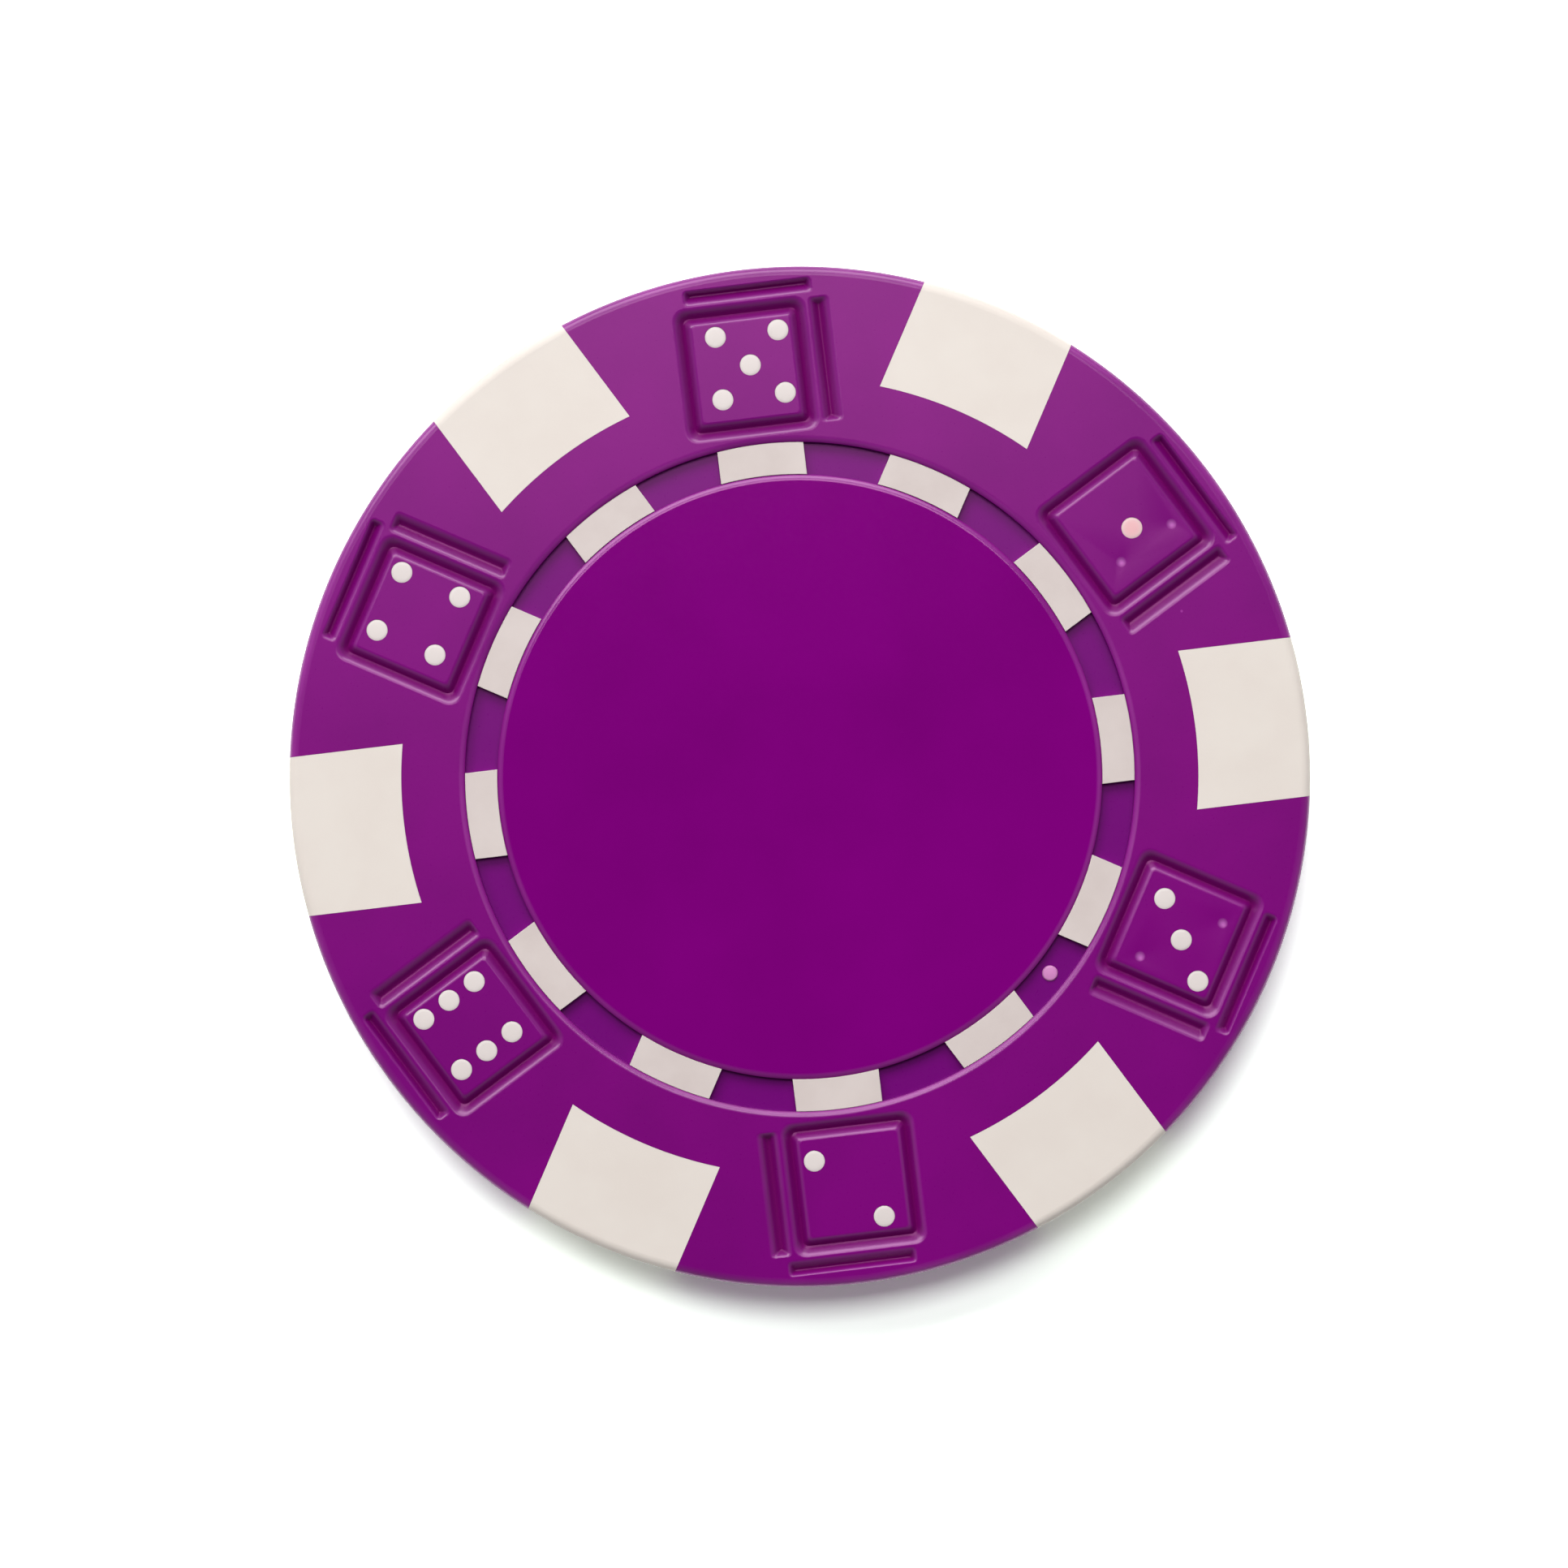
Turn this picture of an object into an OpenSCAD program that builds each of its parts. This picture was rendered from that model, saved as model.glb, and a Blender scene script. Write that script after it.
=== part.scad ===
// Weighted poker chip with dice round its rim, six white edge spots and a plain centre.
// Millimetres. The origin is the centre of the lower face and +Z points up.
// Both faces carry the same relief, because the lower one is the upper one turned over.
// The rim is as wide as a die and its slots need, and the recess, the centre and the slug follow from it.

/* [Chip] */
// Diameter over the edge
chip_d = 39; // [36:0.1:44]
// Thickness over both rims
chip_t = 3.3; // [3:0.05:4]
// Radius that rounds the edge of each face
edge_round = 0.4; // [0.2:0.05:0.6]
// Gap left round each piece where it sits in another
fit_gap = 0.02; // [0.01:0.005:0.03]

/* [Dice] */
// Land between the edge and the outer slot of a die
edge_land = 0.58; // [0.45:0.01:0.8]
// Land between the moat of a die and the recess
inner_land = 0.4; // [0.3:0.01:0.6]
// Width of the raised square
die_w = 3.7; // [3.2:0.05:4.2]
// Width of the moat round the square
moat_w = 0.62; // [0.5:0.02:0.74]
// Depth of the moat and of the slots
moat_depth = 0.3; // [0.15:0.01:0.4]
// Run of each sloping wall of the moat and of the slots
wall_run = 0.2; // [0.1:0.01:0.24]
// Ridge between the moat and the slots
ridge_w = 0.18; // [0.1:0.01:0.24]
// Width of the two slots beside the moat
slot_w = 0.62; // [0.5:0.02:0.74]
// Length of the slots
slot_l = 5; // [4.2:0.1:5.6]
// How far the outer slot lies to the clockwise side of the middle of the square
outer_slot_aside = 0.4; // [0:0.02:0.5]
// How far the side slot lies outside the middle of the square
side_slot_out = 0.15; // [0:0.02:0.4]

/* [Pips] */
// Diameter of a pip
pip_d = 0.83; // [0.6:0.01:1]
// Margin between the pips and the sides of the square
pip_margin = 0.235; // [0.2:0.005:0.3]
// How far the middle pip lies outside the middle of the square
pip_out = 0.17; // [0:0.01:0.19]
// How far the middle pip lies to the clockwise side of the middle of the square
pip_aside = 0.19; // [0:0.01:0.19]
// Thickness of the pad that carries a die's pips
pad_t = 0.8; // [0.5:0.05:1.2]
// Margin of the pad outside its pips
pad_margin = 0.25; // [0.1:0.05:0.3]

/* [Edge spots] */
// Width of an edge spot
spot_w = 6.1; // [4.5:0.1:7.2]
// Length of an edge spot from the edge inwards
spot_l = 4.3; // [3.5:0.1:5]
// Width of the tongue that anchors an edge spot
tongue_w = 4; // [2:0.1:4.4]
// Thickness of that tongue
tongue_t = 0.8; // [0.5:0.05:1.2]

/* [Centre] */
// Depth of the recess below the rim
recess_depth = 0.36; // [0.26:0.02:0.5]
// Width of the groove between the rim and the centre disc
groove_w = 1.24; // [1:0.02:1.6]
// Drop from the rim to the face of the centre disc
disc_drop = 0.05; // [0.02:0.01:0.12]

/* [Ring blocks] */
// Blocks round the groove, the first of them under the first die
block_count = 12; // [6:2:14]
// Width of a block along the groove
block_w = 3.3; // [2:0.05:4]
// Drop from the rim to the top of a block
block_drop = 0.1; // [0.05:0.01:0.2]
// Gap from a block to the rim and to the centre disc
block_gap = 0.06; // [0.04:0.01:0.12]
// Thickness of the washer that carries the blocks
washer_t = 0.2; // [0.15:0.01:0.3]
// Reach of the washer under the rim and under the disc
washer_lip = 0.6; // [0.3:0.05:0.8]
// Diameter of the moulding nub that stands between two blocks
nub_d = 0.6; // [0.4:0.05:0.8]
// Rise of the nub above the floor of the groove
nub_rise = 0.08; // [0.02:0.01:0.15]

/* [Core and body halves] */
// Reach of the steel slug under the rim
slug_lap = 1.02; // [0.85:0.01:1.2]
// Wall between the slug and the inserts outside it
core_wall = 0.2; // [0.15:0.01:0.3]
// Thickness of the floor over the washer
floor_t = 0.16; // [0.1:0.01:0.3]
// Distance from the edge to the middle of the rib that centres the body halves
rib_inset = 1.1; // [0.8:0.05:1.3]
// Width of that rib
rib_w = 0.5; // [0.3:0.05:0.7]
// Height of that rib
rib_h = 0.3; // [0.2:0.05:0.5]

/* [Hidden] */
$fn = 96;
dice = 6;
die_numbers = [5, 1, 3, 2, 6, 4];
station_angle = 360 / dice;
block_angle = 360 / block_count;
// Block, counted clockwise from the first die, that the nub follows
nub_block_count = 4;
// The nub's place from that block to the next
nub_place_share = 0.5;
// Length by which a cutting shape passes the surface that it cuts
overrun = 0.5;

// Radii, from the edge inwards
chip_r = chip_d / 2;
rib_r = chip_r - rib_inset;
spot_in_r = chip_r - spot_l;
moat_half = die_w / 2 + moat_w;
square_r = chip_r - edge_land - slot_w - ridge_w - moat_half;
recess_r = square_r - moat_half - inner_land;
slug_r = recess_r + slug_lap;
insert_in_r = slug_r + core_wall;
disc_r = recess_r - groove_w;
block_mid_r = recess_r - groove_w / 2;
block_half_l = groove_w / 2 - block_gap;

// Heights above the chip's middle plane
half_t = chip_t / 2;
floor_h = half_t - recess_depth;
washer_top = floor_h - floor_t - fit_gap;
washer_base = washer_top - washer_t;
slug_h = washer_base - fit_gap;
block_top = half_t - block_drop;

die_r = square_r + pip_out;
pip_pitch = die_w / 2 - pip_margin - pip_d / 2;
pad_half = pip_pitch + pip_d / 2 + pad_margin;
slot_mid = moat_half + ridge_w + slot_w / 2;
wall_slope = wall_run / moat_depth;

purple = [0.49, 0.0, 0.48];
white = [0.91, 0.88, 0.85];
steel = [0.62, 0.63, 0.65];

// Places of a die's pips, in pip pitches clockwise and outwards from the middle pip
function corners() = [for (side = [-1, 1], out = [-1, 1]) [side, out]];
function pip_places(number) =
    number == 1 ? [[0, 0]] :
    number == 2 ? [[-1, 1], [1, -1]] :
    number == 3 ? [[-1, -1], [0, 0], [1, 1]] :
    number == 4 ? corners() :
    number == 5 ? concat(corners(), [[0, 0]]) :
    concat(corners(), [[-1, 0], [1, 0]]);

// Station whose upper face comes to lie under a station when the chip is turned over
function turned(i) = (dice - i) % dice;

edge_names = [for (i = [1 : dice]) str("edge_insert_", i)];
die_names = [for (i = [1 : dice]) str("die_insert_", i)];

// Lifts a shape drawn about the middle plane to its place above the lower face
module about_middle() {
    translate([0, 0, half_t])
        children();
}

// Turns a shape over to the chip's other face, about the line through the first die
module turn_over() {
    rotate([0, 180, 0])
        children();
}

// Stations run clockwise from the first die, which is on +Y: X is then clockwise and Y is outwards
module at_station(i) {
    rotate([0, 0, -i * station_angle])
        children();
}

// Edge spots lie half way between stations
module at_spot(i) {
    at_station(i + 1 / 2)
        children();
}

module at_block(i) {
    rotate([0, 0, -i * block_angle])
        children();
}

// Section of one half of the chip, from its middle plane to its rounded edge
module half_section() {
    square([chip_r - edge_round, half_t]);
    square([chip_r, half_t - edge_round]);
    translate([chip_r - edge_round, half_t - edge_round])
        circle(r = edge_round);
}

module half_blank() {
    rotate_extrude()
        half_section();
}

module ring(inner_r, outer_r, low, high) {
    translate([0, 0, low])
        difference() {
            cylinder(r = outer_r, h = high - low);
            translate([0, 0, -overrun])
                cylinder(r = inner_r, h = high - low + 2 * overrun);
        }
}

// Box across the line of a station, from one distance out to another and between two heights
module station_box(width, from_y, to_y, low, high) {
    translate([-width / 2, from_y, low])
        cube([width, to_y - from_y, high - low]);
}

// Space of an edge spot through the whole chip, larger by a gap
module spot_space(gap) {
    difference() {
        station_box(spot_w + 2 * gap, 0, chip_r + overrun, -half_t - overrun, half_t + overrun);
        cylinder(r = spot_in_r - gap, h = chip_t + 4 * overrun, center = true);
    }
}

// Tongue behind an edge spot, long enough to run into the spot past its curved back
module tongue(gap) {
    high = tongue_t / 2 + gap;
    station_box(tongue_w + 2 * gap, insert_in_r - gap, spot_in_r + tongue_t, -high, high);
}

module pad(gap) {
    high = pad_t / 2 + gap;
    station_box(2 * (pad_half + gap), insert_in_r - gap, die_r + pad_half + gap, -high, high);
}

module posts(number, gap, high) {
    for (place = pip_places(number))
        translate([place[0] * pip_pitch, die_r + place[1] * pip_pitch, 0])
            cylinder(d = pip_d + 2 * gap, h = high);
}

module block(gap, high) {
    reach = block_half_l + gap;
    intersection() {
        station_box(block_w + 2 * gap, 0, recess_r, washer_base, high);
        ring(block_mid_r - reach, block_mid_r + reach, washer_base, high);
    }
}

module nub(gap, high) {
    at_block(nub_block_count + nub_place_share)
        translate([0, block_mid_r, washer_base])
            cylinder(d = nub_d + 2 * gap, h = high - washer_base);
}

// Trapezium from a groove's floor to just above the rim; lean is 1 to widen upwards, -1 to narrow
module sloped_section(half_w, lean) {
    low = half_w - lean * wall_run;
    high = half_w + lean * wall_slope * overrun;
    polygon([[-low, -moat_depth], [low, -moat_depth], [high, overrun], [-high, overrun]]);
}

// Bar of that section along X, of that half width where it meets the rim
module sloped_bar(half_w, lean, length) {
    translate([0, 0, half_t])
        rotate([90, 0, 90])
            linear_extrude(height = length, center = true)
                sloped_section(half_w, lean);
}

module sloped_square(half_w, lean) {
    length = 2 * (half_w + wall_run + wall_slope * overrun);
    intersection() {
        sloped_bar(half_w, lean, length);
        rotate([0, 0, 90])
            sloped_bar(half_w, lean, length);
    }
}

// Moat and slots of one die, about the middle of its square
module die_grooves() {
    translate([-pip_aside, square_r, 0]) {
        difference() {
            sloped_square(moat_half, 1);
            sloped_square(die_w / 2, -1);
        }
        translate([outer_slot_aside, slot_mid, 0])
            sloped_bar(slot_w / 2, 1, slot_l);
        translate([slot_mid, side_slot_out, 0])
            rotate([0, 0, 90])
                sloped_bar(slot_w / 2, 1, slot_l);
    }
}

// Rib at the middle plane, broken where the edge spots pass through it
module rib(gap, low, high) {
    difference() {
        ring(rib_r - rib_w / 2 - gap, rib_r + rib_w / 2 + gap, low, high);
        for (i = [0 : dice - 1])
            at_spot(i)
                spot_space(fit_gap);
    }
}

// Spaces in a body half for the slug, the washer, its blocks and its nub
module core_spaces() {
    translate([0, 0, -overrun])
        cylinder(r = slug_r + fit_gap, h = slug_h + fit_gap + overrun);
    ring(disc_r - washer_lip - fit_gap, recess_r + washer_lip + fit_gap, slug_h, washer_top + fit_gap);
    for (i = [0 : block_count - 1])
        at_block(i)
            block(fit_gap, floor_h + overrun);
    nub(fit_gap, floor_h + overrun);
}

// Spaces in a body half for the edge spots and for the pips, with the relief of the dice
module rim_spaces() {
    for (i = [0 : dice - 1]) {
        at_spot(i) {
            spot_space(fit_gap);
            tongue(fit_gap);
        }
        at_station(i) {
            pad(fit_gap);
            posts(die_numbers[i], fit_gap, half_t + overrun);
            die_grooves();
        }
    }
}

module body_half() {
    difference() {
        half_blank();
        translate([0, 0, floor_h])
            cylinder(r = recess_r, h = recess_depth + overrun);
        core_spaces();
        rim_spaces();
    }
}

module body_upper() {
    color(purple)
        about_middle()
            difference() {
                body_half();
                rib(fit_gap, -overrun, rib_h + fit_gap);
            }
}

module body_lower() {
    color(purple)
        about_middle() {
            turn_over()
                body_half();
            rib(0, -rib_h, rib_h);
        }
}

module steel_slug() {
    color(steel)
        about_middle()
            cylinder(r = slug_r, h = 2 * slug_h, center = true);
}

// Washer on the slug, with its blocks and nub standing through the floor of the groove
module ring_insert() {
    ring(disc_r - washer_lip, recess_r + washer_lip, washer_base, washer_top);
    for (i = [0 : block_count - 1])
        at_block(i)
            block(0, block_top);
    nub(0, floor_h + nub_rise);
}

module ring_insert_upper() {
    color(white)
        about_middle()
            ring_insert();
}

module ring_insert_lower() {
    color(white)
        about_middle()
            turn_over()
                ring_insert();
}

module centre_disc() {
    translate([0, 0, floor_h + fit_gap])
        cylinder(r = disc_r, h = recess_depth - disc_drop - fit_gap);
}

module centre_disc_upper() {
    color(purple)
        about_middle()
            centre_disc();
}

module centre_disc_lower() {
    color(purple)
        about_middle()
            turn_over()
                centre_disc();
}

// White lug that is part of both faces and of the edge, with its tongue between the body halves
module edge_insert(i) {
    color(white)
        about_middle()
            at_spot(i) {
                intersection() {
                    union() {
                        half_blank();
                        turn_over()
                            half_blank();
                    }
                    spot_space(0);
                }
                tongue(0);
            }
}

// Pad between the body halves, with posts that show as pips on the upper and the lower face
module die_insert(i) {
    color(white)
        about_middle() {
            at_station(i) {
                pad(0);
                posts(die_numbers[i], 0, half_t);
            }
            turn_over()
                at_station(turned(i))
                    posts(die_numbers[turned(i)], 0, half_t);
        }
}

body_upper();
body_lower();
steel_slug();
ring_insert_upper();
ring_insert_lower();
centre_disc_upper();
centre_disc_lower();
for (i = [0 : dice - 1]) {
    edge_insert(i);
    die_insert(i);
}
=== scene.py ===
# %% [markdown]
# # A weighted poker chip with dice round its rim
#
# This lesson dresses a poker chip: two purple halves round a steel slug, with white plastic showing
# as edge spots, pips and a ring of small blocks. The solids of the chip are loaded first and never
# moved. They give every place and every main size, and the lesson then makes a finer mesh for each
# piece that shows, with the rounded shoulders, soft grooves and parting line that plastic gets from
# its mould.

# %% Load the solids of the chip
import math

import bmesh
import bpy
from mathutils import Matrix, Vector


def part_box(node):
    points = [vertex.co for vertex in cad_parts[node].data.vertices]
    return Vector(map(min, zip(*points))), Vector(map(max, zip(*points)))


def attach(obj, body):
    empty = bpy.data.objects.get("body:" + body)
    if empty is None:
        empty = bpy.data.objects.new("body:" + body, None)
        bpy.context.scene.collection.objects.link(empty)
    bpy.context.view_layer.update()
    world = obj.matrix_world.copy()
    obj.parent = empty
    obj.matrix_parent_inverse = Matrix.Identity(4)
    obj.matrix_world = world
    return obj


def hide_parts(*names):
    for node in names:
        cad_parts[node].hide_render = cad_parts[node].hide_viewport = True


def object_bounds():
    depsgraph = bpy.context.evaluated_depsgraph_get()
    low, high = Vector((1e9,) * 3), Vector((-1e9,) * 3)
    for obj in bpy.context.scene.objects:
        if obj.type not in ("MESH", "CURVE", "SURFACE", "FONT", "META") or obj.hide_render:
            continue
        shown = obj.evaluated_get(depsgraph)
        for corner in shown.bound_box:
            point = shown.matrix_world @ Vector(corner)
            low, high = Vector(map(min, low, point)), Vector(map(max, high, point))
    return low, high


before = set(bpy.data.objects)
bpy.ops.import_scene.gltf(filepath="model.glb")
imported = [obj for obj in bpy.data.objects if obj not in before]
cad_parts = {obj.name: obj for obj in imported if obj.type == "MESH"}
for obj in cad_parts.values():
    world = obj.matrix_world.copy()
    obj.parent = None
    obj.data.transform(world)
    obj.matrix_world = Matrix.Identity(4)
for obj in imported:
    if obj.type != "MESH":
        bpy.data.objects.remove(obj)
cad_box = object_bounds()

# %% [markdown]
# ## Sizes
#
# A mesh of a small object is easier to read in millimetres, and fills and bevels are also safer
# there, because some operators treat very short edges as no edges at all. So every piece is drawn
# in millimetres with its heights counted from the chip's middle plane, and is scaled to metres
# once, when it is finished. The main sizes are read from the boxes of the solids. Only the small
# ones, which no box shows, are written here. A fit is the gap that is left between two pieces, and
# a support is the narrow flat band outside a shoulder.

# %% Read the main sizes from the solids
MM = 0.001


def reach(node):
    """Lowest and highest corner of a solid, in millimetres."""
    low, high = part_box(node)
    return low / MM, high / MM


body_low, body_high = reach("body_upper")
disc_low, disc_high = reach("centre_disc_upper")
_, slug_high = reach("steel_slug")
ring_low, ring_high = reach("ring_insert_upper")
_, spot_high = reach("edge_insert_2")
pad_low, pad_high = reach("die_insert_1")

chip_r = min(cad_box[1].x, cad_box[1].y) / MM
middle_h = body_low.z
half_t = body_high.z - middle_h
disc_r = disc_high.x
disc_top = disc_high.z - middle_h
disc_base = disc_low.z - middle_h
slug_r = slug_high.x
slug_h = slug_high.z - middle_h
washer_r = ring_high.x
washer_base = ring_low.z - middle_h
block_top = ring_high.z - middle_h
spot_half = spot_high.y
pad_half = pad_high.x
print(f"chip {2 * chip_r:.2f} mm across and {2 * half_t:.2f} mm thick")
print(f"disc {2 * disc_r:.2f} mm across")

# %% Name the small sizes
fit = 0.004
support = 0.012
dice = 6
station_angle = math.tau / dice
die_numbers = [5, 1, 3, 2, 6, 4]

spot_l = 4.3
recess_w = 1.24
recess_depth = 0.43
die_w = 3.7
moat_w = 0.62
inner_land = 0.4

spot_in_r = chip_r - spot_l
recess_r = disc_r + recess_w
floor_h = half_t - recess_depth
washer_t = 0.2
washer_top = washer_base + washer_t
moat_half = die_w / 2 + moat_w
square_r = recess_r + inner_land + moat_half
print(f"recess {2 * recess_r:.2f} mm across, middle of each die {square_r:.2f} mm out")

# %% [markdown]
# ## Outlines, lofts and fills
#
# Nearly every surface of the chip runs between flat outlines made of arcs and straight lines: the
# rim with its six notches, the square moats, the slots and the blocks. Spinning one vertex leaves
# an arc, and arcs joined end to end are an outline. Outlines of the same kind are bridged into
# walls and rounded shoulders, and the flat areas between outlines are filled with triangles. A
# first outline is always drawn just outside a shoulder at the same height. That narrow flat band
# keeps the shading of the flat area exactly flat.

# %% Helpers for outlines
MERGE_DISTANCE = 0.0005


def arc(bm, radius, height, start, sweep, steps, middle=(0, 0)):
    """Spins one vertex about an upright axis and returns the chain of vertices that it leaves."""
    known = len(bm.verts)
    axis = Vector((*middle, height))
    first = bm.verts.new(axis + radius * Vector((math.cos(start), math.sin(start), 0)))
    bmesh.ops.spin(bm, geom=[first], cent=axis, axis=(0, 0, 1), angle=sweep, steps=steps)
    bm.verts.ensure_lookup_table()
    return bm.verts[known:]


def closed(bm, *chains):
    """Joins chains of vertices end to end and returns the edges of the closed outline."""
    verts = [v for chain in chains for v in chain]
    return [bm.edges.get(pair) or bm.edges.new(pair) for pair in zip(verts, verts[1:] + verts[:1])]


def circle(bm, radius, height, steps, middle=(0, 0)):
    """The edges of a circle about an upright axis."""
    place = Matrix.Translation((*middle, height))
    made = bmesh.ops.create_circle(bm, radius=radius, segments=steps, matrix=place)
    return closed(bm, made["verts"])


def loft(bm, outlines):
    """Bridges each outline to the next one.

    The flat bands come first, because they then take no direction from a neighbour.
    """
    def level(outline):
        return outline[0].verts[0].co.z

    pairs = list(zip(outlines, outlines[1:]))
    pairs.sort(key=lambda pair: abs(level(pair[0]) - level(pair[1])) > MERGE_DISTANCE)
    for upper, lower in pairs:
        bmesh.ops.bridge_loops(bm, edges=upper + lower)


def fill(bm, *outlines):
    """Fills the flat area inside the first outline and outside the others."""
    edges = [edge for outline in outlines for edge in outline]
    bmesh.ops.triangle_fill(bm, edges=edges, normal=(0, 0, 1), use_beauty=True)


def fill_level(bm, height):
    """Fills the flat area between all the open outlines at a height."""
    def level(edge):
        return all(abs(vert.co.z - height) < MERGE_DISTANCE for vert in edge.verts)

    fill(bm, [edge for edge in bm.edges if edge.is_boundary and level(edge)])


print("outlines closer than", MERGE_DISTANCE, "mm count as one")

# %% Helpers for drawings
finish_values = ["tint", "wear_and_sheen", "groove", "floor"]


def drawing():
    """An empty mesh in millimetres, with the values that the finishes read."""
    bm = bmesh.new()
    for name in finish_values:
        bm.verts.layers.float.new(name)
    return bm


def mark(bm, name, outlines, values):
    """Writes one value for each outline."""
    layer = bm.verts.layers.float[name]
    for outline, value in zip(outlines, values):
        for edge in outline:
            for vert in edge.verts:
                vert[layer] = value


def turn(bm, angle):
    """Turns a drawing clockwise about the chip's axis."""
    bmesh.ops.rotate(bm, verts=bm.verts, cent=(0, 0, 0), matrix=Matrix.Rotation(-angle, 3, "Z"))


def turn_over(bm):
    """Turns a drawing over to the chip's other face, about the line through the first die."""
    bmesh.ops.rotate(bm, verts=bm.verts, cent=(0, 0, 0), matrix=Matrix.Rotation(math.pi, 3, "Y"))


def add_part(bm, part):
    """Adds a small drawing to a larger one.

    Small drawings are quick, because an operator looks at all that a drawing holds.
    """
    carrier = bpy.data.meshes.new("carrier")
    part.to_mesh(carrier)
    part.free()
    bm.from_mesh(carrier)
    bpy.data.meshes.remove(carrier)


print("drawings carry the values", finish_values)

# %% [markdown]
# ## Finishing a piece
#
# A finished piece is merged, closed and shaded smooth, with sharp edges only where the plastic
# really has them. Its lower twin is the same mesh turned over about the line through the first die.
# The piece then rides on the chip's one body, takes the place of its plain solid, and carries its
# finish.

# %% Helper that finishes a piece
SHARP_ANGLE = math.radians(38)


def finish_piece(bm, name, finish, nodes):
    """Turns a drawing in millimetres into a piece of the chip."""
    bmesh.ops.remove_doubles(bm, verts=bm.verts, dist=MERGE_DISTANCE)
    bmesh.ops.translate(bm, verts=bm.verts, vec=(0, 0, middle_h))
    bmesh.ops.recalc_face_normals(bm, faces=bm.faces)
    open_edges = sum(not edge.is_manifold for edge in bm.edges)
    bmesh.ops.scale(bm, verts=bm.verts, vec=(MM, MM, MM))
    mesh = bpy.data.meshes.new(name)
    bm.to_mesh(mesh)
    bm.free()
    mesh.shade_smooth()
    mesh.set_sharp_from_angle(angle=SHARP_ANGLE)
    mesh.materials.append(finish)
    piece = bpy.data.objects.new(name, mesh)
    bpy.context.scene.collection.objects.link(piece)
    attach(piece, "root")
    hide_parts(*nodes)
    mesh.calc_loop_triangles()
    print(f"{name}: {len(mesh.loop_triangles)} triangles, {open_edges} open edges")


print(f"edges sharper than {math.degrees(SHARP_ANGLE):.0f} degrees stay sharp")

# %% [markdown]
# ## Finishes
#
# Moulded plastic is never one even colour: the melt leaves a faint cloudiness, and the mould's skin
# leaves a fine grain that spreads the reflection. All the plastics share that skin, so it is one
# node group with its own sizes in each material. It puts out a slow cloud, a fine grain and a few
# dust specks. The flat areas are satin, and only the shoulders and flanks are glossy, because
# handling polishes what stands out and the mould is smoothest where it bends. A second node group
# turns the marks of a mesh into masks for that, and a thin coat carries the gloss.
# The same group makes shoulders and crests paler too, partly rubbed and partly a painted highlight.

# %% Node group for the skin of moulded plastic
skin_sizes = {"Cloud Size": 6.0, "Grain Size": 0.12, "Speck Spacing": 4.0, "Speck Size": 0.05}
skin_values = {"Vector": (0.0, 0.0, 0.0), **skin_sizes}
cloud_noise = {"Detail": 3, "Roughness": 0.55}
grain_noise = {"Detail": 4, "Roughness": 0.6}


def link(tree, source, target):
    tree.links.new(source, target)


def add_node(tree, kind, **values):
    """Adds a shader node and sets its plain properties."""
    made = tree.nodes.new(kind)
    for key, value in values.items():
        setattr(made, key, value)
    return made


def feed(tree, value, socket):
    """Links a socket to another one, or sets it to a plain value."""
    if isinstance(value, bpy.types.NodeSocket):
        link(tree, value, socket)
    else:
        socket.default_value = value


def combine(tree, operation, first, second):
    """Joins two values, each a socket or a number, by an operation."""
    joined = add_node(tree, "ShaderNodeMath", operation=operation)
    for value, socket in zip((first, second), joined.inputs):
        feed(tree, value, socket)
    return joined.outputs[0]


def scaled_texture(tree, kind, vector, size, **values):
    """A texture whose features are as wide as a size in millimetres."""
    texture = add_node(tree, kind, **values)
    link(tree, vector, texture.inputs["Vector"])
    link(tree, combine(tree, "DIVIDE", 1 / MM, size), texture.inputs["Scale"])
    return texture


def noise(tree, vector, size, settings):
    texture = scaled_texture(tree, "ShaderNodeTexNoise", vector, size)
    for name, value in settings.items():
        texture.inputs[name].default_value = value
    return texture.outputs["Fac"]


def new_group(name, values, outputs):
    """An empty node group, with the sockets that it is given and those that it puts out."""
    tree = bpy.data.node_groups.new(name, "ShaderNodeTree")
    for socket, value in values.items():
        kind = "NodeSocketFloat" if isinstance(value, float) else "NodeSocketVector"
        made = tree.interface.new_socket(socket, in_out="INPUT", socket_type=kind)
        made.default_value = value
    for socket in outputs:
        tree.interface.new_socket(socket, in_out="OUTPUT", socket_type="NodeSocketFloat")
    given = add_node(tree, "NodeGroupInput").outputs
    result = add_node(tree, "NodeGroupOutput").inputs
    return tree, given, result


def make_skin_group():
    tree, given, result = new_group("moulded_skin", skin_values, ("Cloud", "Grain", "Speck"))
    vector = given["Vector"]
    link(tree, noise(tree, vector, given["Cloud Size"], cloud_noise), result["Cloud"])
    link(tree, noise(tree, vector, given["Grain Size"], grain_noise), result["Grain"])
    spacing = given["Speck Spacing"]
    cells = scaled_texture(tree, "ShaderNodeTexVoronoi", vector, spacing, feature="F1")
    speck_r = combine(tree, "DIVIDE", given["Speck Size"], spacing)
    link(tree, combine(tree, "LESS_THAN", cells.outputs["Distance"], speck_r), result["Speck"])
    return tree


skin_group = make_skin_group()
print("node group:", skin_group.name, [item.name for item in skin_group.interface.items_tree])

# %% Helpers for colours and ranges
def linear(red, green, blue):
    """A screen colour, 0 to 255, as the linear colour that a shader takes."""
    shares = [channel / 255 for channel in (red, green, blue)]
    return [c / 12.92 if c <= 0.04045 else ((c + 0.055) / 1.055) ** 2.4 for c in shares] + [1]


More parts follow.
